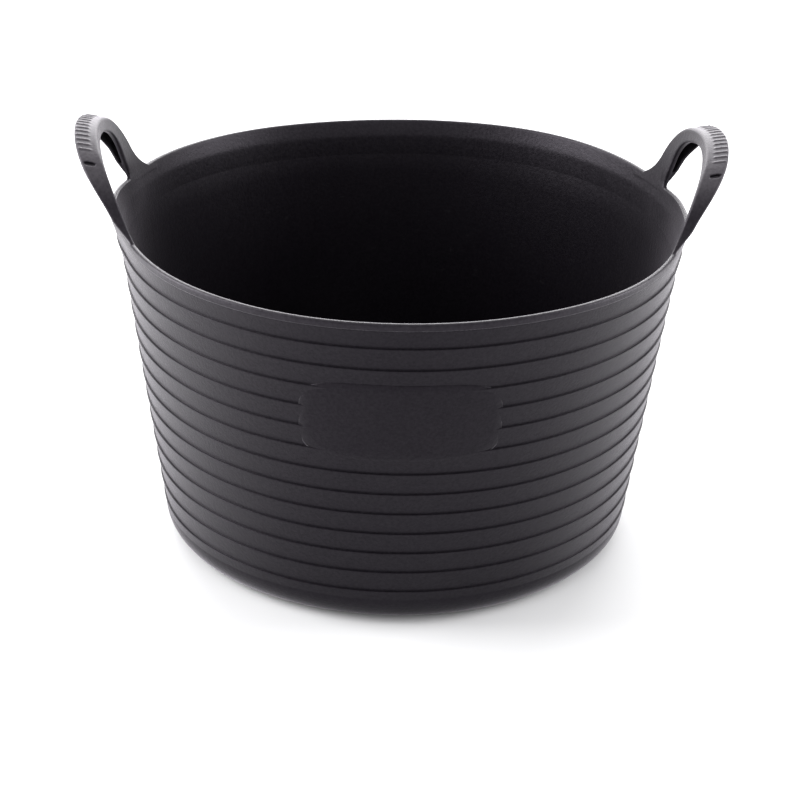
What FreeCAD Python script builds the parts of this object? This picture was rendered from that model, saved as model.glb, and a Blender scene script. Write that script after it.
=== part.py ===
"""Round flexible mixing tub with two loop handles, as a parametric document.

Frame: millimetres, +Z up, origin at the centre of the base on the ground.
The handles stand at +X and -X and the blank label panel faces -Y.
The tub is one moulding, divided here into its working zones: floor, rounded heel,
stepped side wall, label panel, rim lip, and at each side the handle's roots, loop and ribs.
Each loop hinges on its roots, where the thin plastic bends.
"""

import FreeCAD, Part
import Sketcher
import math
import os

UP = FreeCAD.Vector(0, 0, 1)
FACING_OUT = FreeCAD.Rotation(FreeCAD.Vector(1, 1, 1), 120)  # sketch X, Y, normal become Y, Z, X
ALONG_Y = FreeCAD.Rotation(FreeCAD.Vector(1, 0, 0), -90)  # a primitive's own Z becomes Y

DIMENSIONS = [
    # tub
    ("rim_radius", 240),
    ("rim_height", 282),
    ("base_radius", 195),
    ("first_band", 21.5),
    ("band_pitch", 19),
    ("ring_count", 13),
    ("step_depth", 2.5),
    ("skin", 3),
    # heel and floor
    ("heel_radius", 24),
    ("heel_skin", 5),
    ("foot_width", 10),
    ("floor_lift", 1),
    ("floor_skin", 4),
    # rim lip
    ("lip_height", 14),
    ("lip_width", 5),
    ("bead_height", 6),
    ("collar_inset", 1.5),
    ("lip_chamfer", 1.2),
    # label panel
    ("panel_width", 156),
    ("panel_height", 72),
    ("panel_drop", 89),
    ("panel_corner", 20),
    ("panel_raise", 0.4),
    # handle loop, heights counted from the rim
    ("loop_height", 60),
    ("loop_half_width", 83),
    ("leg_splay", 15),
    ("loop_corner", 46),
    ("crown_radius", 160),
    ("opening_height", 51),
    ("opening_half_width", 58),
    ("opening_splay", 7),
    ("opening_corner", 25),
    ("opening_crown", 100),
    ("grip_tilt", 8),
    ("loop_inside", 236),
    ("loop_lean", 16.5),
    ("leg_outside", 245),
    ("grip_lean", 25),
    ("band_reach", 60),
    ("loop_room", 90),
    # finger channel under the grip
    ("channel_skin", 5),
    ("panel_skin", 6),
    ("outer_lip", 4),
    ("channel_start", 24),
    # ribs across the crown
    ("rib_count", 13),
    ("rib_pitch", 7),
    ("rib_width", 2.6),
    ("rib_proud", 1.2),
    ("rib_inside", 6),
    ("rib_outside", 1.5),
    # where each loop bends on its roots
    ("hinge_reach", 226.5),
    ("hinge_rise", -4),
    ("root_radius", 16),
    ("bend_gap", 0.3),
    ("root_depth", 10),
    ("root_flare", 12),
]

doc = FreeCAD.newDocument("MixingTub")
sheet = doc.addObject("Spreadsheet::Sheet", "Dims")
for row, (alias, value) in enumerate(DIMENSIONS, start=1):
    sheet.set(f"A{row}", alias)
    sheet.set(f"B{row}", str(value))
    sheet.setAlias(f"B{row}", alias)
doc.recompute()

parts = []

START, END, CENTRE = 1, 2, 3  # which point of a sketch element a constraint holds
X_AXIS, Y_AXIS = -1, -2  # the sketch's own axes


def size(alias):
    return float(sheet.get(alias))


def bind(thing, sizes):
    """Ties properties of an object to the sheet, one expression each."""
    for prop, expression in sizes.items():
        thing.setExpression(prop, expression)
    return thing


def make(kind, name, sizes):
    return bind(doc.addObject(kind, name), sizes)


def cone(name, low_radius, high_radius, low, high):
    """An upright cone between two heights, coaxial with the tub."""
    return make(
        "Part::Cone",
        name,
        {
            "Radius1": low_radius,
            "Radius2": high_radius,
            "Height": f"({high}) - ({low})",
            "Placement.Base.z": low,
        },
    )


def cylinder(name, radius, low, high):
    return make(
        "Part::Cylinder",
        name,
        {"Radius": radius, "Height": f"({high}) - ({low})", "Placement.Base.z": low},
    )


def cut(name, base, tool):
    result = doc.addObject("Part::Cut", name)
    result.Base = base
    result.Tool = tool
    return result


def common(name, *shapes):
    result = doc.addObject("Part::MultiCommon", name)
    result.Shapes = list(shapes)
    return result


def fuse(name, *shapes):
    result = doc.addObject("Part::MultiFuse", name)
    result.Shapes = list(shapes)
    return result


def keep(thing, label):
    """Marks an object as a finished sub-part."""
    thing.Label = label
    parts.append(thing)
    return thing


# ---------------------------------------------------------------- tub

SLOPE = "(Dims.rim_radius - Dims.base_radius) / Dims.rim_height"
BAND_TAPER = f"({SLOPE} + Dims.step_depth / Dims.band_pitch)"
LIP_BOTTOM = "Dims.rim_height - Dims.lip_height"
HEEL_TOP = "Dims.heel_radius"


def slope_radius(height):
    """Radius of the straight cone through the middle of every step."""
    return f"(Dims.base_radius + ({SLOPE}) * ({height}))"


def wall_inside(height):
    return f"({slope_radius(height)} - Dims.step_depth / 2 - Dims.skin)"


def ring_height(number):
    """Height of ring line number 1, 2, 3 ... counted down from the rim."""
    return f"(Dims.rim_height - Dims.first_band - {number - 1} * Dims.band_pitch)"


def band_radius(index, height):
    """Radius of band number index at a height; band 0 is the one under the rim."""
    foot = ring_height(index + 1)
    return f"({slope_radius(foot)} - Dims.step_depth / 2 + {BAND_TAPER} * ({height} - {foot}))"


def wall_band(index):
    """One band, which draws in towards its foot; the next one down steps out again."""
    low = ring_height(index + 1) if index < int(size("ring_count")) else HEEL_TOP
    high = ring_height(index) if index else LIP_BOTTOM
    return cone(f"Band{index}", band_radius(index, low), band_radius(index, high), low, high)


def panel_prism():
    """Rounded block that runs out through the front wall where the label panel is."""
    block = make(
        "Part::Box",
        "PanelBlock",
        {
            "Length": "Dims.panel_width",
            "Height": "Dims.panel_height",
            "Width": "Dims.rim_radius",
            "Placement.Base.x": "-Dims.panel_width / 2",
            "Placement.Base.y": "-Dims.rim_radius * 1.1",
            "Placement.Base.z": "Dims.rim_height - Dims.panel_drop - Dims.panel_height / 2",
        },
    )
    doc.recompute()
    corners = [i for i, edge in enumerate(block.Shape.Edges, 1) if runs_along_y(edge)]
    prism = doc.addObject("Part::Fillet", "PanelPrism")
    prism.Base = block
    prism.Edges = [(i, size("panel_corner"), size("panel_corner")) for i in corners]
    return prism


def runs_along_y(edge):
    start, end = (vertex.Point for vertex in edge.Vertexes)
    return abs((end - start).normalize().y) > 0.99


def side_wall_and_panel():
    bands = [wall_band(i) for i in range(int(size("ring_count")) + 1)]
    stack = fuse("WallStack", *bands)
    inside = cone("WallInside", wall_inside(HEEL_TOP), wall_inside(LIP_BOTTOM), HEEL_TOP, LIP_BOTTOM)
    shell = cut("WallShell", stack, inside)
    prism = panel_prism()
    keep(cut("SideWall", shell, prism), "side_wall")
    proud = "Dims.step_depth / 2 + Dims.panel_raise"
    smooth = cone(
        "PanelOutside",
        f"{slope_radius(HEEL_TOP)} + {proud}",
        f"{slope_radius(LIP_BOTTOM)} + {proud}",
        HEEL_TOP,
        LIP_BOTTOM,
    )
    hollow = cone("PanelInside", wall_inside(HEEL_TOP), wall_inside(LIP_BOTTOM), HEEL_TOP, LIP_BOTTOM)
    skin = cut("PanelSkin", smooth, hollow)
    keep(common("BadgePanel", skin, prism), "badge_panel")


def base_heel():
    """Rounded corner between wall and floor, with a flat ring that stands on the ground."""
    outside = band_radius(int(size("ring_count")), HEEL_TOP)
    core = f"({outside} - Dims.heel_radius)"
    outer_round = make(
        "Part::Torus",
        "HeelOuterRound",
        {"Radius1": core, "Radius2": "Dims.heel_radius", "Placement.Base.z": HEEL_TOP},
    )
    inner_round = make(
        "Part::Torus",
        "HeelInnerRound",
        {
            "Radius1": core,
            "Radius2": "Dims.heel_radius - Dims.heel_skin",
            "Placement.Base.z": HEEL_TOP,
        },
    )
    filled = fuse("HeelFilled", outer_round, cylinder("HeelCore", core, "0", HEEL_TOP))
    hollow = fuse(
        "HeelHollow",
        inner_round,
        cylinder("HeelRoom", core, "Dims.heel_skin", f"{HEEL_TOP} * 2"),
    )
    bowl = cut("HeelBowl", filled, hollow)
    trimmed = cut(
        "HeelTrimmed",
        bowl,
        cylinder("HeelAbove", "Dims.rim_radius", HEEL_TOP, f"{HEEL_TOP} * 3"),
    )
    floor_radius = f"{core} - Dims.foot_width"
    keep(
        cut("BaseHeel", trimmed, cylinder("FloorHole", floor_radius, "-1", f"{HEEL_TOP}")),
        "base_heel",
    )
    keep(
        cylinder("TubFloor", floor_radius, "Dims.floor_lift", "Dims.floor_lift + Dims.floor_skin"),
        "tub_floor",
    )


def lip_ring():
    """The rim's ring before the handle roots are let into it: a bead outside, a collar inside."""
    top = "Dims.rim_height"
    edge = f"{top} - Dims.lip_chamfer"
    under_bead = f"{top} - Dims.bead_height"
    mouth = "Dims.rim_radius - Dims.lip_width"
    collar = cone(
        "LipBody", band_radius(0, LIP_BOTTOM), band_radius(0, under_bead), LIP_BOTTOM, under_bead
    )
    bead = cylinder("LipBead", "Dims.rim_radius", under_bead, edge)
    bevel = cone("LipBevel", "Dims.rim_radius", "Dims.rim_radius - Dims.lip_chamfer", edge, top)
    collar_room = cone(
        "LipInside", f"{wall_inside(LIP_BOTTOM)} - Dims.collar_inset", mouth, LIP_BOTTOM, edge
    )
    mouth_room = cone("LipMouth", mouth, f"{mouth} + Dims.lip_chamfer", edge, top)
    return cut("LipRing", fuse("LipOutside", collar, bead, bevel), fuse("LipRoom", collar_room, mouth_room))


# ---------------------------------------------------------------- handles


def arch_points(half_width, splay, corner, crown, height):
    """Corner and crown centres, and the joins between leg, corner arc and crown arc."""
    lean = math.radians(splay)
    outward = FreeCAD.Vector(math.cos(lean), math.sin(lean), 0)
    along = FreeCAD.Vector(-math.sin(lean), math.cos(lean), 0)
    foot = FreeCAD.Vector(half_width, 0, 0)
    crown_centre = FreeCAD.Vector(0, height - crown, 0)
    across = -corner - (crown_centre - foot).dot(outward)
    climb = math.sqrt((crown - corner) ** 2 - across**2)
    corner_centre = crown_centre + outward * across + along * climb
    leg_top = corner_centre + outward * corner
    to_corner = (corner_centre - crown_centre).normalize()
    shoulder = crown_centre + to_corner * crown
    return foot, leg_top, corner_centre, shoulder, crown_centre


def mirrored(point):
    return FreeCAD.Vector(-point.x, point.y, 0)


def arc(centre, start, end):
    """Arc drawn anticlockwise from start to end."""
    radius = (start - centre).Length
    circle = Part.Circle(centre, FreeCAD.Vector(0, 0, 1), radius)
    first = math.atan2(start.y - centre.y, start.x - centre.x)
    last = math.atan2(end.y - centre.y, end.x - centre.x)
    return Part.ArcOfCircle(circle, first, last)


def arch_sketch(name, sizes, offset=None, outward=1):
    """Closed arch outline standing on the rim: splayed legs, round corners and a bowed crown.

    sizes gives the aliases of half width, splay, corner radius, crown radius and height.
    offset names a distance by which the whole outline grows, or shrinks if outward is -1.
    """
    half_width, splay, corner, crown, height = sizes
    change = outward * size(offset) if offset else 0
    grown = f" + {outward} * Dims.{offset}" if offset else ""
    foot, leg_top, corner_centre, shoulder, crown_centre = arch_points(
        size(half_width) + change,
        size(splay),
        size(corner) + change,
        size(crown) + change,
        size(height) + change,
    )
    sketch = doc.addObject("Sketcher::SketchObject", name)
    sketch.addGeometry(Part.LineSegment(mirrored(foot), foot), False)
    sketch.addGeometry(Part.LineSegment(foot, leg_top), False)
    sketch.addGeometry(arc(corner_centre, leg_top, shoulder), False)
    sketch.addGeometry(arc(crown_centre, shoulder, mirrored(shoulder)), False)
    sketch.addGeometry(arc(mirrored(corner_centre), mirrored(shoulder), mirrored(leg_top)), False)
    sketch.addGeometry(Part.LineSegment(mirrored(leg_top), mirrored(foot)), False)
    base, leg, corner_arc, crown_arc, far_corner, far_leg = range(6)
    tie(sketch, "Coincident", base, END, leg, START)
    for piece in (leg, corner_arc, crown_arc, far_corner):
        tie(sketch, "Tangent", piece, END, piece + 1, START)
    tie(sketch, "Coincident", far_leg, END, base, START)
    tie(sketch, "PointOnObject", base, START, X_AXIS)
    tie(sketch, "Symmetric", base, START, base, END, X_AXIS, START)
    tie(sketch, "PointOnObject", crown_arc, CENTRE, Y_AXIS)
    tie(sketch, "Equal", corner_arc, far_corner)
    tie(sketch, "Equal", leg, far_leg)
    reach = ("DistanceX", X_AXIS, START, base, END, foot.x)
    drive(sketch, "half_width", reach, f"Dims.{half_width}{grown}")
    corner_size = (leg_top - corner_centre).Length
    drive(sketch, "corner", ("Radius", corner_arc, corner_size), f"Dims.{corner}{grown}")
    crown_size = (shoulder - crown_centre).Length
    drive(sketch, "crown", ("Radius", crown_arc, crown_size), f"Dims.{crown}{grown}")
    sink = ("DistanceY", crown_arc, CENTRE, X_AXIS, START, -crown_centre.y)
    drive(sketch, "sink", sink, f"Dims.{crown} - Dims.{height}")
    lean = ("Angle", X_AXIS, START, leg, START, math.radians(90 + size(splay)))
    drive(sketch, "splay", lean, f"(90 + Dims.{splay}) * 1 deg")
    return sketch


def tie(sketch, *facts):
    return sketch.addConstraint(Sketcher.Constraint(*facts))


def drive(sketch, label, facts, expression):
    """Adds a dimension to the sketch and binds it to the sheet."""
    sketch.renameConstraint(tie(sketch, *facts), label)
    sketch.setExpression(f"Constraints.{label}", expression)


def sweep_out(name, sketch):
    """Extrudes an outline outward over the rim, climbing with the grip's tilt."""
    sketch.Placement.Rotation = FACING_OUT
    start = {
        "Placement.Base.x": "Dims.loop_inside - Dims.band_reach / 2",
        "Placement.Base.z": "Dims.rim_height - Dims.band_reach / 2 * tan(Dims.grip_tilt * 1 deg)",
    }
    bind(sketch, start)
    prism = doc.addObject("Part::Extrusion", name)
    prism.Base = sketch
    prism.DirMode = "Custom"
    prism.Solid = True
    tilt = math.radians(size("grip_tilt"))
    prism.Dir = FreeCAD.Vector(math.cos(tilt), 0, math.sin(tilt))
    return bind(prism, {"LengthFwd": "Dims.band_reach * 1.5"})


def leaning_ring(name, inner, outer, low, high):
    """Ring between two cones about the tub's axis. inner and outer give the radius at the
    rim and the lean in degrees; low and high are heights counted from the rim."""
    walls = []
    for side, (radius, lean) in (("Inner", inner), ("Outer", outer)):
        slant = f"tan(({lean}) * 1 deg)"
        walls.append(
            cone(
                name + side,
                f"({radius}) + ({low}) * {slant}",
                f"({radius}) + ({high}) * {slant}",
                f"Dims.rim_height + ({low})",
                f"Dims.rim_height + ({high})",
            )
        )
    return cut(name, walls[1], walls[0])


INSIDE_FACE = ("Dims.loop_inside", "Dims.loop_lean")
OUTSIDE_FACE = ("Dims.leg_outside", "Dims.grip_lean")
OUTER_ARCH = ("loop_half_width", "leg_splay", "loop_corner", "crown_radius", "loop_height")
OPENING_ARCH = (
    "opening_half_width",
    "opening_splay",
    "opening_corner",
    "opening_crown",
    "opening_height",
)


def hinge_rod(name, radius):
    """Rod along the line about which the loop bends, longer than the loop is wide."""
    return bind(
        turned(doc.addObject("Part::Cylinder", name), ALONG_Y),
        {
            "Radius": radius,
            "Height": "Dims.loop_half_width * 3",
            "Placement.Base.x": "Dims.hinge_reach",
            "Placement.Base.y": "-Dims.loop_half_width * 1.5",
            "Placement.Base.z": "Dims.rim_height + Dims.hinge_rise",
        },
    )


def turned(thing, rotation):
    thing.Placement.Rotation = rotation
    return thing


def loop_solid():
    """The moving loop: inner panel, top skin and outer lip round a finger channel."""
    whole = sweep_out("ArchPrism", arch_sketch("ArchOutline", OUTER_ARCH))
    gap = sweep_out("OpeningPrism", arch_sketch("OpeningOutline", OPENING_ARCH))
    arch = cut("ArchWithOpening", whole, gap)
    band = leaning_ring("LoopBand", INSIDE_FACE, OUTSIDE_FACE, "-Dims.root_depth", "Dims.loop_room")
    blank = common("LoopBlank", arch, band)
    room = sweep_out("ChannelPrism", arch_sketch("ChannelOutline", OUTER_ARCH, "channel_skin", -1))
    ring = leaning_ring(
        "ChannelBand",
        ("Dims.loop_inside + Dims.panel_skin", "Dims.loop_lean"),
        ("Dims.leg_outside - Dims.outer_lip", "Dims.grip_lean"),
        "Dims.channel_start",
        "Dims.loop_room",
    )
    channel = common("FingerChannel", room, ring)
    hollowed = cut("LoopHollowed", blank, channel)
    loop = cut("HandleLoop", hollowed, hinge_rod("BendRoom", "Dims.root_radius + Dims.bend_gap"))
    return loop, blank, whole


def foot_block(name, side):
    """Block at one leg's foot, let into the rim, that flares out to the rim with a fillet."""
    reach = {
        "Length": "Dims.band_reach",
        "Placement.Base.x": "Dims.loop_inside - Dims.band_reach / 2",
        "Width": "Dims.loop_half_width + Dims.root_flare - Dims.opening_half_width",
        "Height": "Dims.root_depth + Dims.root_flare",
        "Placement.Base.z": "Dims.rim_height - Dims.root_depth",
    }
    near = "Dims.opening_half_width" if side > 0 else "-Dims.loop_half_width - Dims.root_flare"
    block = make("Part::Box", name + "Block", {**reach, "Placement.Base.y": near})
    fillet_centre = (
        f"{side} * (Dims.loop_half_width + Dims.root_flare * (1 - sin(Dims.leg_splay * 1 deg))"
        " / cos(Dims.leg_splay * 1 deg))"
    )
    scoop = bind(
        turned(doc.addObject("Part::Cylinder", name + "Scoop"), FACING_OUT),
        {
            "Radius": "Dims.root_flare",
            "Height": "Dims.band_reach",
            "Placement.Base.x": "Dims.loop_inside - Dims.band_reach / 2",
            "Placement.Base.y": fillet_centre,
            "Placement.Base.z": "Dims.rim_height + Dims.root_flare",
        },
    )
    return cut(name, block, scoop)


def roots_solid(arch_band):
    """Two stubs that grow out of the rim; their tops are round about the bend line."""
    feet = fuse("RootFeet", foot_block("FrontFoot", -1), foot_block("RearFoot", 1))
    ring = leaning_ring("RootBand", INSIDE_FACE, OUTSIDE_FACE, "-Dims.root_depth", "Dims.loop_room")
    flared = common("RootFlared", feet, ring)
    stems = fuse("RootStems", flared, arch_band)
    below = make(
        "Part::Box",
        "BelowRim",
        {
            "Length": "Dims.band_reach",
            "Width": "Dims.loop_half_width * 3",
            "Height": "Dims.root_depth * 2",
            "Placement.Base.x": "Dims.loop_inside - Dims.band_reach / 2",
            "Placement.Base.y": "-Dims.loop_half_width * 1.5",
            "Placement.Base.z": "Dims.rim_height - Dims.root_depth * 2",
        },
    )
    reach = fuse("RootReach", below, hinge_rod("RootRod", "Dims.root_radius"))
    return common("HandleRoots", stems, reach)


def rib_solids(arch):
    """Raised bars across the crown of the loop."""
    grown = sweep_out("RibPrism", arch_sketch("RibOutline", OUTER_ARCH, "rib_proud"))
    cover = cut("RibCover", grown, arch)
    count = int(size("rib_count"))
    bars = [
        make(
            "Part::Box",
            f"RibBar{i}",
            {
                "Length": "Dims.band_reach",
                "Width": "Dims.rib_width",
                "Height": "Dims.loop_room",
                "Placement.Base.x": "Dims.loop_inside",
                "Placement.Base.y": f"{i - (count - 1) / 2} * Dims.rib_pitch - Dims.rib_width / 2",
                "Placement.Base.z": "Dims.rim_height + Dims.loop_height / 2",
            },
        )
        for i in range(count)
    ]
    ring = leaning_ring(
        "RibBand",
        ("Dims.loop_inside + Dims.rib_inside", "Dims.loop_lean"),
        ("Dims.leg_outside - Dims.rib_outside", "Dims.grip_lean"),
        "Dims.loop_height / 2",
        "Dims.loop_room",
    )
    return common("GripRibs", cover, fuse("RibComb", *bars), ring)


def both_sides(name, solid, label):
    """Keeps a handle solid at +X as the right one and its half-turned copy as the left one."""
    copy = doc.addObject("Part::MultiFuse", name + "Left")
    copy.Shapes = [solid, solid]
    turned(copy, FreeCAD.Rotation(UP, 180))
    keep(solid, "right_" + label)
    keep(copy, "left_" + label)
    return solid, copy


def handles():
    loop, arch_band, arch = loop_solid()
    both_sides("HandleLoop", loop, "handle_loop")
    both_sides("GripRibs", rib_solids(arch), "grip_ribs")
    return both_sides("HandleRoots", roots_solid(arch_band), "handle_roots")


side_wall_and_panel()
base_heel()
ring = lip_ring()
right_roots, left_roots = handles()
keep(cut("RimLip", ring, fuse("RootSockets", right_roots, left_roots)), "rim_lip")
doc.recompute()

for thing in doc.Objects:
    if "Invalid" in thing.State or "Error" in thing.State:
        raise RuntimeError(f"{thing.Name} failed: {thing.State}")
for part in parts:
    if part.Shape.isNull() or not part.Shape.isValid() or part.Shape.Volume <= 0:
        raise RuntimeError(f"{part.Label} has no sound shape")

os.makedirs("parts", exist_ok=True)
for part in parts:
    part.Shape.exportStep(f"parts/{part.Label}.step")
    print(part.Label, len(part.Shape.Solids), round(part.Shape.Volume))
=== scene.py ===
"""Round flexible mixing tub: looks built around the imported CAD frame.

Metres, +Z up, origin at the centre of the base. Handles at +X and -X, label panel facing -Y.
"""

import math

import bmesh
import bpy
import numpy as np
from mathutils import Matrix, Vector


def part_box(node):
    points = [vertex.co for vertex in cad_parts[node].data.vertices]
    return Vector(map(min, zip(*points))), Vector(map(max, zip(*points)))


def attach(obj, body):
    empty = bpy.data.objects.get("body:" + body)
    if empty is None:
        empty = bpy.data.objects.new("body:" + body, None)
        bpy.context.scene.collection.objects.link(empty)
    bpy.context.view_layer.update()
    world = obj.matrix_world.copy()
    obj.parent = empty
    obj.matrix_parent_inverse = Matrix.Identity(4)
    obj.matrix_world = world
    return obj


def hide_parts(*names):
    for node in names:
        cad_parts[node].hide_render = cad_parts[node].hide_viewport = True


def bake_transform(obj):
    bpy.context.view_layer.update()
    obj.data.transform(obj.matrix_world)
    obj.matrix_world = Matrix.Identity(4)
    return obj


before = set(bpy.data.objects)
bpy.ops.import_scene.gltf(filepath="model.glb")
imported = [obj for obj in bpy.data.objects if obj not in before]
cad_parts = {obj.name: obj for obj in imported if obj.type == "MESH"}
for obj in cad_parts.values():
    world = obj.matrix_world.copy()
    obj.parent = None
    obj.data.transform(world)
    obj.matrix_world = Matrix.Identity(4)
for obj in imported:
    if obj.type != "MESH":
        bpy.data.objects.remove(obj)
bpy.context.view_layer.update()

MM = 0.001

# ---------------------------------------------------------------- sizes read from the frame

RIM_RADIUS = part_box("rim_lip")[1].y
RIM_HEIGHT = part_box("rim_lip")[1].z
LIP_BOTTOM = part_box("rim_lip")[0].z
HEEL_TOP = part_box("base_heel")[1].z
WALL_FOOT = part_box("base_heel")[1].x
FLOOR_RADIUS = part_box("tub_floor")[1].x
FLOOR_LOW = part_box("tub_floor")[0].z
FLOOR_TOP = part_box("tub_floor")[1].z
PANEL_LOW, PANEL_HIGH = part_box("badge_panel")

# wall
RING_COUNT = 13
FIRST_BAND = 21.5 * MM
BAND_PITCH = 19 * MM
STEP_DEPTH = 1.5 * MM
LEDGE_FALL = 0.3 * MM
LEDGE_EDGE = 0.6 * MM
LEDGE_CORNER = 0.25 * MM
SKIN = 3 * MM
BASE_RADIUS = 195 * MM
SLOPE = (RIM_RADIUS - BASE_RADIUS) / RIM_HEIGHT
BAND_TAPER = SLOPE + STEP_DEPTH / BAND_PITCH

# label panel: how far in from the outline each ring of the border lies, and how deep, in mm
PANEL_BORDER = [(0, -2.6), (0, -1.3), (1.4, -0.8), (3.2, -0.35), (5.5, -0.1), (8.0, 0), (9.5, 0)]
PANEL_PROUD = 0.1 * MM
PANEL_CORNER_POWER = 4.2

# rim lip
LIP_WIDTH = 4 * MM
BEAD_HEIGHT = 6 * MM
COLLAR_INSET = 1.5 * MM
COLLAR_RUN_OUT = 20 * MM
COLLAR_BEND = 22 * MM

# handle loop, heights counted from the rim
OUTER_ARCH = dict(half_width=82.5 * MM, splay=15.5, corner=47 * MM, crown=170 * MM, height=60.3 * MM)
OPENING = dict(half_width=56.5 * MM, splay=6.5, corner=24 * MM, crown=100 * MM, height=51.2 * MM)
GRIP_TILT = math.radians(7.5)
LOOP_INSIDE = 236 * MM
LOOP_LEAN = math.tan(math.radians(16.6))
FOOT_WIDTH = 3.6 * MM
LEG_CLEARS = 14 * MM
LEG_WIDTH = 9 * MM
GRIP_WIDTH = 19.5 * MM
WIDENS_FROM = 2 * MM
WIDENS_TO = 57 * MM
LEG_DEPTH = 3 * MM
CHANNEL_FROM = 9.2 * MM
CHANNEL_FULL = 3.5 * MM
ROOT_FLARE = 23 * MM
INNER_FLARE = 5 * MM
TOP_SKIN = 4.5 * MM
PANEL_SKIN = 5 * MM
OUTER_LIP = 3 * MM
RIB_PITCH = 7 * MM
RIB_SPAN = 46 * MM
RIB_PROUD = 0.9 * MM
RIB_INSIDE = 6 * MM
RIB_OUTSIDE = 1.0 * MM
POCKET_PLACE = 57.5 * MM
POCKET_ACROSS = 0.62
POCKET_HALF_LENGTH = 1.9 * MM
POCKET_HALF_WIDTH = 5.6 * MM
POCKET_DEPTH = 3.2 * MM

VOXEL = 0.65 * MM

# stance: (waves round the tub, cosine part, sine part) in mm, estimated from one view
TUB_TURN = math.radians(0.8)
OUT_OF_ROUND = [(2, -6.2, -3.9)]
RIM_SWAY = [(2, 1.7, 0.65), (3, -1.35, 1.75)]
GAP_BULGE = 4.5 * MM
GAP_HALF_ANGLE = 12

# camera, estimated from the rim, the ring lines and the base
CAMERA_DISTANCE = 8.777 * RIM_RADIUS
CAMERA_ASIDE = 0.01295 * RIM_RADIUS
CAMERA_ELEVATION = math.radians(27.518)
CAMERA_DEPRESSION = math.radians(24.869)
CAMERA_ROLL = math.radians(-0.993)
CAMERA_LENS = 108.08

# colours of the plastic
BLACK = (0.0040, 0.0032, 0.0048, 1)
DUSTY = (0.0075, 0.0066, 0.0082, 1)
SCUFFED = (0.024, 0.023, 0.025, 1)
# paler colours for the handles: rubbed wear on the grip tops and rib crests, partly painted highlight of
# the light from above
RUBBED_AND_LIT = (0.115, 0.108, 0.118, 1)
WORN_AND_LIT_RIDGE = (0.12, 0.113, 0.122, 1)
SHEEN_TINT = (0.96, 0.90, 1.0, 1)
SHINE_TINT = (0.94, 0.86, 1.0, 1)


# ---------------------------------------------------------------- small tools


def slope_radius(z):
    """Radius of the straight cone through the middle of every wall step."""
    return BASE_RADIUS + SLOPE * z


def wall_inside(z):
    return slope_radius(z) - STEP_DEPTH / 2 - SKIN


def waves(terms, angle):
    return sum(a * np.cos(order * angle) + b * np.sin(order * angle) for order, a, b in terms)


def warp(points):
    """The soft tub stands a little out of round, pinched along the line of its handles.

    Every piece goes through this, so neighbours stay together."""
    x, y, z = points.T
    angle = np.arctan2(y, x) + TUB_TURN
    share = np.clip(z / RIM_HEIGHT, 0, 1.3)
    swell = waves(OUT_OF_ROUND, angle)
    ripple = 0.25 * np.sin(7 * angle + 1.3 + 5.0 * share) + 0.15 * np.sin(11 * angle - 9.0 * share)
    from_handle = np.degrees(np.arccos(np.clip(np.abs(np.cos(angle - TUB_TURN)), 0, 1)))
    near_rim = smooth((z - RIM_HEIGHT) / (45 * MM) + 1) * smooth((RIM_HEIGHT + 14 * MM - z) / (11 * MM))
    spread = GAP_BULGE * np.exp(-((from_handle / GAP_HALF_ANGLE) ** 4)) * near_rim
    swell = MM * (swell + ripple) * share + spread
    sway = waves(RIM_SWAY, angle) * MM * share**2
    radius = np.hypot(x, y) + 1e-12
    return np.column_stack([x * (1 + swell / radius), y * (1 + swell / radius), z + sway])


def smooth(value):
    value = np.clip(value, 0, 1)
    return value * value * (3 - 2 * value)


def rounded(corners, steps=4):
    """Polyline through (x, y, radius) corners, each rounded by an arc of its radius."""
    line = [corners[0][:2]]
    for before, here, after in zip(corners, corners[1:], corners[2:]):
        centre, radius = np.array(here[:2]), here[2]
        back = np.array(before[:2]) - centre
        ahead = np.array(after[:2]) - centre
        back_length, ahead_length = np.linalg.norm(back), np.linalg.norm(ahead)
        back, ahead = back / back_length, ahead / ahead_length
        turn = math.acos(np.clip(back @ ahead, -1, 1))
        if radius == 0 or turn > math.pi - 0.02:
            line.append(tuple(centre))
            continue
        reach = min(radius / math.tan(turn / 2), 0.48 * back_length, 0.48 * ahead_length)
        radius = reach * math.tan(turn / 2)
        middle = centre + (back + ahead) / np.linalg.norm(back + ahead) * radius / math.sin(turn / 2)
        start, end = centre + back * reach - middle, centre + ahead * reach - middle
        sweep = math.pi - turn
        for i in range(steps + 1):
            share = i / steps
            a, b = math.sin((1 - share) * sweep), math.sin(share * sweep)
            line.append(tuple(middle + (start * a + end * b) / math.sin(sweep)))
    line.append(corners[-1][:2])
    return line


def supported(line, longest, near=0.4 * MM):
    """Adds points on long runs, two of them close to the ends, so that shading stays flat."""
    points = [line[0]]
    for a, b in zip(line, line[1:]):
        a, b = np.array(a), np.array(b)
        length = np.linalg.norm(b - a)
        if length > 4 * near:
            inner = max(1, round((length - 2 * near) / longest))
            shares = [near / length + i / inner * (1 - 2 * near / length) for i in range(inner + 1)]
            points += [tuple(a + (b - a) * share) for share in shares]
        points.append(tuple(b))
    return points


def mesh_object(name, vertices, faces, material):
    mesh = bpy.data.meshes.new(name)
    mesh.from_pydata(vertices.tolist() if hasattr(vertices, "tolist") else vertices, [], faces)
    mesh.update()
    mesh.polygons.foreach_set("use_smooth", [True] * len(mesh.polygons))
    thing = bpy.data.objects.new(name, mesh)
    bpy.context.scene.collection.objects.link(thing)
    if material:
        mesh.materials.append(material)
    return thing


def grid_faces(rows, columns, close_rows=False, close_columns=False):
    """Quads of a grid of rows x columns vertices, wrapped round where asked."""
    faces = []
    for i in range(rows if close_rows else rows - 1):
        low, high = i * columns, (i + 1) % rows * columns
        for j in range(columns if close_columns else columns - 1):
            k = (j + 1) % columns
            faces.append((low + j, low + k, high + k, high + j))
    return faces


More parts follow.
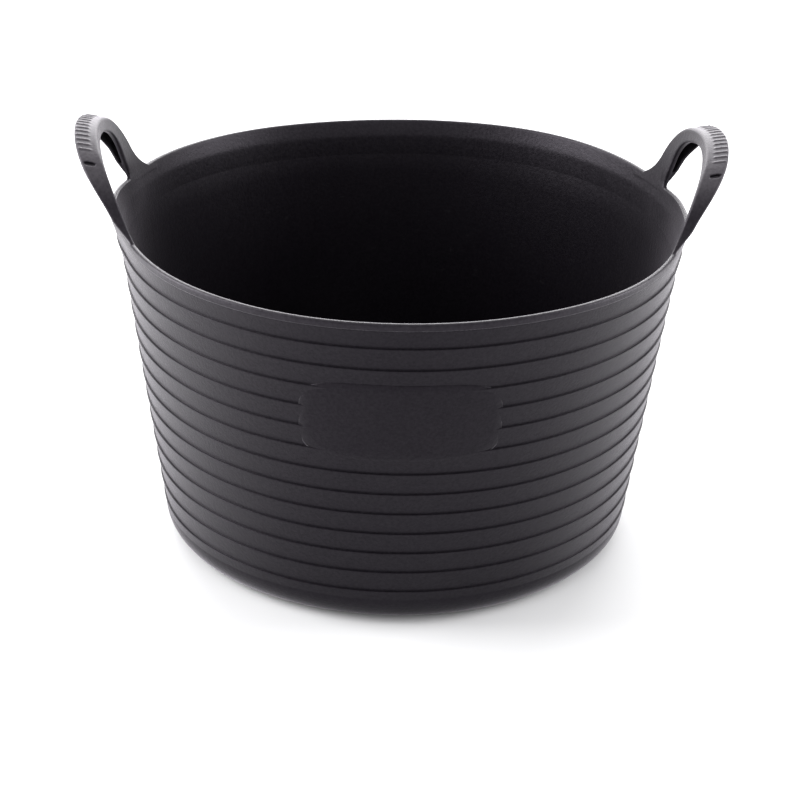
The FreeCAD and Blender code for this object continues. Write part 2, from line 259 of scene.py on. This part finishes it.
def lathe(profile, segments):
    """Vertices and faces of a solid of revolution; the profile starts and ends on the axis."""
    inner = np.array(profile[1:-1])
    angles = np.arange(segments) * 2 * math.pi / segments
    x = np.outer(inner[:, 0], np.cos(angles))
    y = np.outer(inner[:, 0], np.sin(angles))
    z = np.repeat(inner[:, 1:2], segments, axis=1)
    vertices = np.column_stack([x.ravel(), y.ravel(), z.ravel()])
    faces = grid_faces(len(inner), segments, close_columns=True)
    low, high = len(vertices), len(vertices) + 1
    last = (len(inner) - 1) * segments
    for j in range(segments):
        k = (j + 1) % segments
        faces.append((low, k, j))
        faces.append((high, last + j, last + k))
    ends = [(0, 0, profile[0][1]), (0, 0, profile[-1][1])]
    return np.vstack([vertices, ends]), faces


# ---------------------------------------------------------------- materials


class Nodes:
    """Shorthand for building a material's node tree."""

    def __init__(self, name):
        self.material = bpy.data.materials.new(name)
        self.material.use_nodes = True
        self.tree = self.material.node_tree
        self.shader = self.tree.nodes["Principled BSDF"]
        self.place = self.tree.nodes.new("ShaderNodeTexCoord").outputs["Object"]

    def add(self, kind, inputs=None, **settings):
        node = self.tree.nodes.new(kind)
        for key, value in settings.items():
            setattr(node, key, value)
        for key, value in (inputs or {}).items():
            self.link(value, node.inputs[key])
        return node

    def link(self, value, socket):
        if isinstance(value, bpy.types.NodeSocket):
            self.tree.links.new(value, socket)
        else:
            socket.default_value = value

    def stretched(self, scale):
        return self.add("ShaderNodeMapping", {"Vector": self.place, "Scale": scale}).outputs["Vector"]

    def noise(self, per_metre, detail=4.0, roughness=0.55, place=None):
        inputs = {
            "Vector": place or self.place,
            "Scale": per_metre,
            "Detail": detail,
            "Roughness": roughness,
        }
        return self.add("ShaderNodeTexNoise", inputs).outputs["Fac"]

    def spread(self, value, low, high, to_low, to_high):
        inputs = {"Value": value, "From Min": low, "From Max": high, "To Min": to_low, "To Max": to_high}
        return self.add("ShaderNodeMapRange", inputs).outputs["Result"]

    def math(self, operation, a, b=0.0):
        node = self.add("ShaderNodeMath", {0: a, 1: b}, operation=operation)
        return node.outputs[0]

    def mix_colour(self, factor, a, b):
        node = self.add("ShaderNodeMix", data_type="RGBA")
        self.link(factor, node.inputs["Factor"])
        self.link(a, node.inputs[6])
        self.link(b, node.inputs[7])
        return node.outputs[2]

    def bump(self, height, strength, distance, under=None):
        inputs = {"Height": height, "Strength": strength, "Distance": distance}
        if under:
            inputs["Normal"] = under
        return self.add("ShaderNodeBump", inputs).outputs["Normal"]


def black_plastic(name, grain, wear_and_light, shine):
    """Moulded black plastic: leathery grain outside, flow streaks inside, dull scuffs, dust.

    grain is the strength of the bumps; the argument after grain sets how much paler the ridges and
    the up-facing tops of the grips are made, partly rubbed wear and partly painted highlight of the light
    from above; shine is the specular level outside, and inside it falls off downwards."""
    n = Nodes(name)
    normal = n.tree.nodes["Texture Coordinate"].outputs["Normal"]
    outward = n.add("ShaderNodeVectorMath", {0: normal, 1: n.place}, operation="DOT_PRODUCT")
    inside = n.spread(outward.outputs["Value"], 0.01, -0.01, 0.0, 1.0)
    fine = n.noise(1100, 3.0, 0.6)
    leather = n.noise(380, 4.0, 0.6)
    cloud = n.noise(9, 5.0)
    flow = n.noise(30, 5.0, 0.6, n.stretched((4.0, 4.0, 0.3)))
    flow = n.math("MULTIPLY", flow, inside)
    scuff = n.spread(n.noise(210, 6.0, 0.7, n.stretched((0.5, 0.5, 1.0))), 0.62, 0.74, 0.0, 1.0)
    # rib crests and edges made paler by pointiness: worn ridges, partly painted highlight on the crests
    ridge_wear_and_highlight = n.spread(n.add("ShaderNodeNewGeometry").outputs["Pointiness"], 0.52, 0.60, 0.0, wear_and_light)
    dust = n.spread(cloud, 0.45, 0.75, 0.0, 0.4)
    # up-facing grip tops above the rim made paler: rubbed wear, partly painted light falling from above
    up_facing_light = n.spread(n.add("ShaderNodeSeparateXYZ", {0: normal}).outputs["Z"], 0.2, 0.9, 0.0, wear_and_light)
    height = n.add("ShaderNodeSeparateXYZ", {0: n.place}).outputs["Z"]
    high = n.spread(height, RIM_HEIGHT + 22 * MM, RIM_HEIGHT + 46 * MM, 0.0, 1.0)
    rubbed_and_lit_top = n.math("MULTIPLY", up_facing_light, n.math("MULTIPLY", high, n.spread(leather, 0.3, 0.7, 0.7, 1.0)))
    colour = n.mix_colour(dust, BLACK, DUSTY)
    colour = n.mix_colour(n.math("MULTIPLY", scuff, 0.3), colour, SCUFFED)
    # paler grip tops: rubbed wear, partly painted light from above
    colour = n.mix_colour(rubbed_and_lit_top, colour, RUBBED_AND_LIT)
    # paler crests: wear, partly painted highlight
    colour = n.mix_colour(ridge_wear_and_highlight, colour, WORN_AND_LIT_RIDGE)
    n.link(colour, n.shader.inputs["Base Color"])
    rough = n.spread(leather, 0.3, 0.7, 0.34, 0.46)
    rough = n.math("ADD", rough, n.math("MULTIPLY", scuff, 0.12))
    rough = n.math("ADD", rough, n.math("MULTIPLY", flow, 0.10))
    n.link(rough, n.shader.inputs["Roughness"])
    inner_shine = n.spread(height, RIM_HEIGHT - 50 * MM, RIM_HEIGHT - 6 * MM, 0.10, 0.34)
    shine = n.spread(inside, 0.0, 1.0, shine, inner_shine)
    mottle = n.spread(leather, 0.35, 0.65, 0.82, 1.18)
    n.link(n.math("MULTIPLY", shine, mottle), n.shader.inputs["Specular IOR Level"])
    n.shader.inputs["Specular Tint"].default_value = SHINE_TINT
    n.shader.inputs["Sheen Weight"].default_value = 0.36
    n.shader.inputs["Sheen Roughness"].default_value = 0.3
    n.shader.inputs["Sheen Tint"].default_value = SHEEN_TINT
    bumps = n.bump(leather, grain, 0.35 * MM)
    bumps = n.bump(fine, grain, 0.15 * MM, bumps)
    bumps = n.bump(flow, 0.25, 0.5 * MM, bumps)
    n.link(bumps, n.shader.inputs["Normal"])
    return n.material


def floor_material():
    n = Nodes("pale_floor")
    tone = n.mix_colour(n.noise(3, 2.0), (0.865, 0.865, 0.875, 1), (0.885, 0.885, 0.895, 1))
    n.link(tone, n.shader.inputs["Base Color"])
    n.shader.inputs["Roughness"].default_value = 0.6
    n.shader.inputs["Specular IOR Level"].default_value = 0.2
    return n.material


# ---------------------------------------------------------------- tub body


def wall_corners():
    """Outer side from heel to under the bead: each band draws in towards its foot, where a
    narrow ledge, falling a little outwards, leads to the band below."""
    corners = []
    for number in range(RING_COUNT, 0, -1):
        z = RIM_HEIGHT - FIRST_BAND - (number - 1) * BAND_PITCH
        corners.append((slope_radius(z) + STEP_DEPTH / 2, z - LEDGE_FALL / 2, LEDGE_EDGE))
        corners.append((slope_radius(z) - STEP_DEPTH / 2, z + LEDGE_FALL / 2, LEDGE_CORNER))
    return corners


def top_band_radius(z):
    ring = RIM_HEIGHT - FIRST_BAND
    return slope_radius(ring) - STEP_DEPTH / 2 + BAND_TAPER * (z - ring)


def body_profile():
    """Closed section of floor, heel and wall, from the underside's centre to the floor's centre."""
    hidden_top = RIM_HEIGHT - 3 * MM
    core = WALL_FOOT - HEEL_TOP
    under_bead = RIM_HEIGHT - BEAD_HEIGHT
    outside = [
        (0, FLOOR_LOW, 0),
        (FLOOR_RADIUS, FLOOR_LOW, 0.4 * MM),
        (FLOOR_RADIUS + 0.8 * MM, 0, 0.5 * MM),
    ]
    for angle in np.linspace(0, math.pi / 2, 17):
        outside.append((core + HEEL_TOP * math.sin(angle), HEEL_TOP * (1 - math.cos(angle)), 0))
    outside += wall_corners()
    outside += [(top_band_radius(under_bead), under_bead, 0.5 * MM)]
    outside += [(top_band_radius(under_bead) - 2 * MM, hidden_top, 0)]
    inner_heel = HEEL_TOP - FLOOR_TOP
    inside = [
        (RIM_RADIUS - LIP_WIDTH + 1.4 * MM, hidden_top, 0),
        (wall_inside(LIP_BOTTOM), LIP_BOTTOM, 0),
        (core + inner_heel + 0.6 * MM, FLOOR_TOP, inner_heel),
        (0, FLOOR_TOP, 0),
    ]
    return supported(rounded(outside + inside, 6), 7 * MM)


def tub_body(material):
    vertices, faces = lathe(body_profile(), 640)
    body = mesh_object("tub_body", warp(vertices), faces, material)
    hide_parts("tub_floor", "base_heel", "side_wall")
    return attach(body, "tub")


def panel_outline(inset, count):
    """Point on the panel's outline, a rectangle with bowed sides and round corners, drawn in."""
    half_width = (PANEL_HIGH.x - PANEL_LOW.x) / 2 - inset
    half_height = (PANEL_HIGH.z - PANEL_LOW.z) / 2 - inset
    angles = np.arange(count) * 2 * math.pi / count
    power = 2 / PANEL_CORNER_POWER
    x = half_width * np.sign(np.cos(angles)) * np.abs(np.cos(angles)) ** power
    z = half_height * np.sign(np.sin(angles)) * np.abs(np.sin(angles)) ** power
    return x, z


def label_panel(material):
    """Blank raised panel that lies on the front of the stepped wall.

    Its rings run from a pole at the back, inside the wall, over the border to a pole in front."""
    count = 480
    middle = (PANEL_LOW.z + PANEL_HIGH.z) / 2
    steps = 24
    rows = [(0, PANEL_BORDER[0][1] * MM, i / steps) for i in range(steps)]
    rows += [(inset * MM, sink * MM, 1) for inset, sink in PANEL_BORDER]
    rows += [(PANEL_BORDER[-1][0] * MM, 0, 1 - i / steps) for i in range(1, steps + 1)]
    rings = []
    for inset, sink, scale in rows:
        x, z = panel_outline(inset, count)
        x, z = x * scale, z * scale + middle
        radius = slope_radius(z) + STEP_DEPTH / 2 + PANEL_PROUD + sink
        rings.append(np.column_stack([radius * np.sin(x / radius), -radius * np.cos(x / radius), z]))
    vertices = warp(np.vstack(rings[1:-1] + [rings[0][:1], rings[-1][:1]]))
    faces = grid_faces(len(rings) - 2, count, close_columns=True)
    last, back, front = (len(rings) - 3) * count, len(vertices) - 2, len(vertices) - 1
    for j in range(count):
        k = (j + 1) % count
        faces.append((k, j, back))
        faces.append((last + j, last + k, front))
    panel = mesh_object("label_panel", vertices, faces, material)
    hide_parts("badge_panel")
    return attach(panel, "tub")


# ---------------------------------------------------------------- rim and handles


def lip_section():
    """Closed section of the rim: bead outside, rounded mouth, leaning collar inside."""
    under_bead = RIM_HEIGHT - BEAD_HEIGHT
    low_inside = wall_inside(LIP_BOTTOM) - COLLAR_INSET
    buried = top_band_radius(LIP_BOTTOM) - 2 * MM
    run_out = LIP_BOTTOM - COLLAR_RUN_OUT
    corners = [
        (wall_inside(run_out) + 0.8 * MM, run_out, 0),
        (buried, LIP_BOTTOM, 0),
        (buried, under_bead, 0),
        (RIM_RADIUS, under_bead, 0.8 * MM),
        (RIM_RADIUS, RIM_HEIGHT, 1.5 * MM),
        (RIM_RADIUS - LIP_WIDTH, RIM_HEIGHT, 1.2 * MM),
        (low_inside, LIP_BOTTOM, COLLAR_BEND),
        (wall_inside(run_out) + 0.4 * MM, run_out, 0),
    ]
    return supported(rounded(corners, 5), 3 * MM)


def half_rim():
    """Half of the rim, a little past its ends so that they can be trimmed."""
    section = np.array(lip_section())
    reach = math.radians(93)
    angles = np.linspace(-reach, reach, 520)
    x = np.outer(np.cos(angles), section[:, 0])
    y = np.outer(np.sin(angles), section[:, 0])
    z = np.repeat(section[None, :, 1], len(angles), axis=0)
    vertices = np.column_stack([x.ravel(), y.ravel(), z.ravel()])
    columns = len(section)
    faces = grid_faces(len(angles), columns, close_columns=True)
    faces.append(tuple(reversed(range(columns))))
    faces.append(tuple((len(angles) - 1) * columns + j for j in range(columns)))
    return vertices, faces


def arch_line(half_width, splay, corner, crown, height, counts):
    """Points (y, height) along an arch from its rear foot over the crown to its front foot.

    counts gives the number of points on the leg, the corner arc and half the crown arc."""
    lean = math.radians(splay)
    outward = np.array([math.cos(lean), math.sin(lean)])
    along = np.array([-math.sin(lean), math.cos(lean)])
    foot = np.array([half_width, 0])
    crown_centre = np.array([0, height - crown])
    across = -corner - (crown_centre - foot) @ outward
    climb = math.sqrt((crown - corner) ** 2 - across**2)
    corner_centre = crown_centre + outward * across + along * climb
    leg_top = corner_centre + outward * corner
    start = math.atan2(*(leg_top - corner_centre)[::-1])
    end = math.atan2(*(corner_centre - crown_centre)[::-1])
    leg, turn, top = counts
    points = [foot + (leg_top - foot) * i / leg for i in range(leg)]
    for i in range(turn):
        angle = start + (end - start) * i / turn
        points.append(corner_centre + corner * np.array([math.cos(angle), math.sin(angle)]))
    for i in range(top + 1):
        angle = end + (math.pi / 2 - end) * i / top
        points.append(crown_centre + crown * np.array([math.cos(angle), math.sin(angle)]))
    return np.array(points)


def with_flare(line, radius, side):
    """Lets the foot of a leg flare out to the rim along a quarter round."""
    lift = np.clip(1 - line[:, 1] / radius, 0, 1)
    out = radius * (1 - np.sqrt(np.clip(1 - lift**2, 0, 1)))
    return line + np.column_stack([side * out, np.zeros(len(line))])


def sink_feet(line, depth, count):
    """Runs the leg straight down into the rim from its foot."""
    down = [line[0] - np.array([0, depth]) * (1 - i / count) for i in range(count)]
    return np.vstack([down, line])


def face_reach(y, z_start, radius, lean):
    """Distance along the tilted outward direction from the inner plane to a leaning ring face."""
    low, high = np.full(len(y), -0.04), np.full(len(y), 0.08)
    for _ in range(40):
        middle = (low + high) / 2
        x = LOOP_INSIDE + middle * math.cos(GRIP_TILT)
        z = z_start + middle * math.sin(GRIP_TILT)
        outside = np.hypot(x, y) > radius + lean * (z - RIM_HEIGHT)
        high = np.where(outside, middle, high)
        low = np.where(outside, low, middle)
    return (low + high) / 2


def grip_section(width, depth, hollow):
    """Closed section in (distance outward, depth under the crown) round the finger channel.

    hollow is 0 at the feet, where the leg is solid, and 1 where the channel has its full depth."""
    room = max(width - PANEL_SKIN - OUTER_LIP, 0.25 * width)
    panel = (width - room) * PANEL_SKIN / (PANEL_SKIN + OUTER_LIP)
    roof = depth - max(depth - TOP_SKIN, 0.4 * MM) * hollow - 0.3 * MM
    corners = [
        (width * 0.5, 0, 0),
        (width, 0, 2.4 * MM),
        (width, depth, 1.5 * MM),
        (panel + room, depth, 1.2 * MM),
        (panel + room * 0.85, roof, 1.6 * MM),
        (panel + room * 0.15, roof, 1.6 * MM),
        (panel, depth, 1.2 * MM),
        (0, depth, 1.5 * MM),
        (0, 0, 2.2 * MM),
        (width * 0.5, 0, 0),
    ]
    line = np.array(rounded(corners, 5)[:-1])
    return resampled(line, 110)


def resampled(line, count):
    """The closed line with count points spaced evenly along it."""
    closed = np.vstack([line, line[:1]])
    steps = np.linalg.norm(np.diff(closed, axis=0), axis=1)
    travel = np.concatenate([[0], np.cumsum(steps)])
    wanted = np.linspace(0, travel[-1], count, endpoint=False)
    return np.column_stack([np.interp(wanted, travel, closed[:, k]) for k in (0, 1)])


def rib_height(across, outward, width):
    """How far the ribs stand proud at a place on the crown, 0 off the ribbed part."""
    wave = np.clip(3 * np.cos(2 * math.pi * across / RIB_PITCH) - 1.7, 0, 1)
    inside = np.clip((outward - RIB_INSIDE) / (1.5 * MM), 0, 1)
    outside = np.clip((width - RIB_OUTSIDE - outward) / (1.5 * MM), 0, 1)
    ends = np.clip((RIB_SPAN - abs(across)) / (2 * MM), 0, 1)
    return RIB_PROUD * wave * inside * outside * ends


def pocket_depth(across, outward, width):
    """Depth of the oval pocket pressed into each shoulder of the crown, 0 elsewhere."""
    along = (abs(across) - POCKET_PLACE) / POCKET_HALF_LENGTH
    sideways = (outward - width * POCKET_ACROSS) / POCKET_HALF_WIDTH
    return POCKET_DEPTH * smooth(2.2 * (1 - along**2 - sideways**2))


def loop_mesh():
    """The loop at +X as a dense closed tube swept from the rear foot to the front foot."""
    counts = (50, 90, 70)
    outer = with_flare(arch_line(**OUTER_ARCH, counts=counts), ROOT_FLARE, 1)
    inner = with_flare(arch_line(**OPENING, counts=counts), INNER_FLARE, -1)
    outer, inner = sink_feet(outer, LEG_DEPTH, 8), sink_feet(inner, LEG_DEPTH, 8)
    flip = np.array([-1, 1])
    outer, inner = np.vstack([outer, outer[-2::-1] * flip]), np.vstack([inner, inner[-2::-1] * flip])
    depth = np.linalg.norm(inner - outer, axis=1)
    down = (inner - outer) / depth[:, None]
    height = outer[:, 1]
    widths = FOOT_WIDTH + (LEG_WIDTH - FOOT_WIDTH) * smooth(height / LEG_CLEARS)
    widths += (GRIP_WIDTH - LEG_WIDTH) * smooth((height - WIDENS_FROM) / (WIDENS_TO - WIDENS_FROM))
    travel = np.concatenate([[0], np.cumsum(np.linalg.norm(np.diff(outer, axis=0), axis=1))])
    travel -= travel[-1] / 2
    rings = []
    for i in range(len(outer)):
        width = widths[i]
        section = grip_section(width, depth[i], smooth((width - CHANNEL_FROM) / CHANNEL_FULL))
        on_top = section[:, 1] < 0.05 * MM
        rise = rib_height(travel[i], section[:, 0], width) - pocket_depth(travel[i], section[:, 0], width)
        flat = outer[i] + down[i] * (section[:, 1] - np.where(on_top, rise, 0))[:, None]
        reach = face_reach(flat[:, 0], RIM_HEIGHT + flat[:, 1], LOOP_INSIDE, LOOP_LEAN) + section[:, 0]
        x = LOOP_INSIDE + reach * math.cos(GRIP_TILT)
        z = RIM_HEIGHT + flat[:, 1] + reach * math.sin(GRIP_TILT)
        rings.append(np.column_stack([x, flat[:, 0], z]))
    columns = len(rings[0])
    vertices = np.vstack(rings)
    faces = grid_faces(len(rings), columns, close_columns=True)
    faces.append(tuple(reversed(range(columns))))
    faces.append(tuple((len(rings) - 1) * columns + j for j in range(columns)))
    return vertices, faces


def melted(name, parts, material):
    """One skin over several closed solids, with their joins softened."""
    vertices, faces = [], []
    for part_vertices, part_faces in parts:
        start = len(vertices)
        vertices += part_vertices.tolist()
        faces += [tuple(start + v for v in face) for face in part_faces]
    thing = mesh_object(name, vertices, faces, None)
    remesh = thing.modifiers.new("skin", "REMESH")
    remesh.mode = "VOXEL"
    remesh.voxel_size = VOXEL
    remesh.use_smooth_shade = True
    soften = thing.modifiers.new("soften", "SMOOTH")
    soften.factor = 0.5
    soften.iterations = 5
    skin = bpy.data.meshes.new_from_object(thing.evaluated_get(bpy.context.evaluated_depsgraph_get()))
    thing.modifiers.clear()
    thing.data = skin
    skin.materials.clear()
    skin.materials.append(material)
    return thing


def trim_half(thing):
    """Cuts the piece off at the plane between the two handles."""
    bm = bmesh.new()
    bm.from_mesh(thing.data)
    everything = bm.verts[:] + bm.edges[:] + bm.faces[:]
    bmesh.ops.bisect_plane(
        bm, geom=everything, plane_co=(0, 0, 0), plane_no=(1, 0, 0), clear_inner=True
    )
    bm.to_mesh(thing.data)
    bm.free()
    return thing


def placed(thing, turn):
    """Turns the finished half about the tub's axis and warps it with the rest."""
    count = len(thing.data.vertices)
    co = np.zeros(count * 3)
    thing.data.vertices.foreach_get("co", co)
    points = co.reshape(-1, 3) * (np.array([-1, -1, 1]) if turn else 1)
    thing.data.vertices.foreach_set("co", warp(points).ravel())
    thing.data.update()
    return thing


def rim_and_handles(material):
    half = trim_half(melted("rim_with_right_handle", [half_rim(), loop_mesh()], material))
    other = bpy.data.objects.new("rim_with_left_handle", half.data.copy())
    bpy.context.scene.collection.objects.link(other)
    for thing, side, turn in ((half, "right", False), (other, "left", True)):
        placed(thing, turn)
        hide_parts(f"{side}_handle_loop", f"{side}_grip_ribs", f"{side}_handle_roots")
        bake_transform(thing)
    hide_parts("rim_lip")
    return half, other


# ---------------------------------------------------------------- stage


def lay_floor():
    size = 30 * RIM_RADIUS
    corners = [(-size, -size, 0), (size, -size, 0), (size, size, 0), (-size, size, 0)]
    floor = mesh_object("floor", corners, [(0, 1, 2, 3)], floor_material())


def set_world():
    world = bpy.data.worlds.new("studio")
    bpy.context.scene.world = world
    world.use_nodes = True
    background = world.node_tree.nodes["Background"]
    background.inputs["Color"].default_value = (1, 1, 1, 1)
    background.inputs["Strength"].default_value = 0.96


def softbox(name, place, aim, width, height, power):
    light = bpy.data.lights.new(name, "AREA")
    light.shape = "RECTANGLE"
    light.size, light.size_y = width, height
    light.energy = power
    lamp = bpy.data.objects.new(name, light)
    lamp.location = place
    lamp.rotation_euler = (Vector(aim) - Vector(place)).to_track_quat("-Z", "Y").to_euler()
    bpy.context.scene.collection.objects.link(lamp)


def set_lights():
    set_world()
    middle = (0, 0, RIM_HEIGHT / 2)
    softbox("back_box", (0, 2.6, 1.5), middle, 3.4, 2.0, 100)
    softbox("left_box", (-1.9, 0.1, 0.8), middle, 1.2, 1.6, 60)
    softbox("right_box", (1.9, 0.1, 0.6), middle, 0.9, 1.4, 34)


def set_camera():
    """Long lens above the rim, aimed at the tub, which stands turned a little to it."""
    turn = Matrix.Rotation(-TUB_TURN, 4, "Z")
    camera = bpy.data.cameras.new("camera")
    camera.sensor_width = 36
    camera.lens = CAMERA_LENS
    camera.clip_start, camera.clip_end = 0.05, 60
    thing = bpy.data.objects.new("camera", camera)
    back = CAMERA_DISTANCE * math.cos(CAMERA_ELEVATION)
    up = CAMERA_DISTANCE * math.sin(CAMERA_ELEVATION)
    place = Vector((CAMERA_ASIDE, -back, up))
    tilt = Matrix.Rotation(math.pi / 2 - CAMERA_DEPRESSION, 4, "X")
    aim = tilt @ Matrix.Rotation(-CAMERA_ROLL, 4, "Z")
    thing.matrix_world = turn @ Matrix.Translation(place) @ aim
    bpy.context.scene.collection.objects.link(thing)
    bpy.context.scene.camera = thing


bpy.context.scene.view_settings.view_transform = "Standard"
outside = black_plastic("tub_plastic", 0.6, 0.0, 0.18)
panel = black_plastic("panel_plastic", 0.6, 0.0, 0.16)
# the handles get the paler grip tops and ridges, partly painted highlight
handles = black_plastic("handle_plastic", 0.6, 0.6, 0.30)
tub_body(outside)
label_panel(panel)
rim_and_handles(handles)
lay_floor()
set_lights()
set_camera()
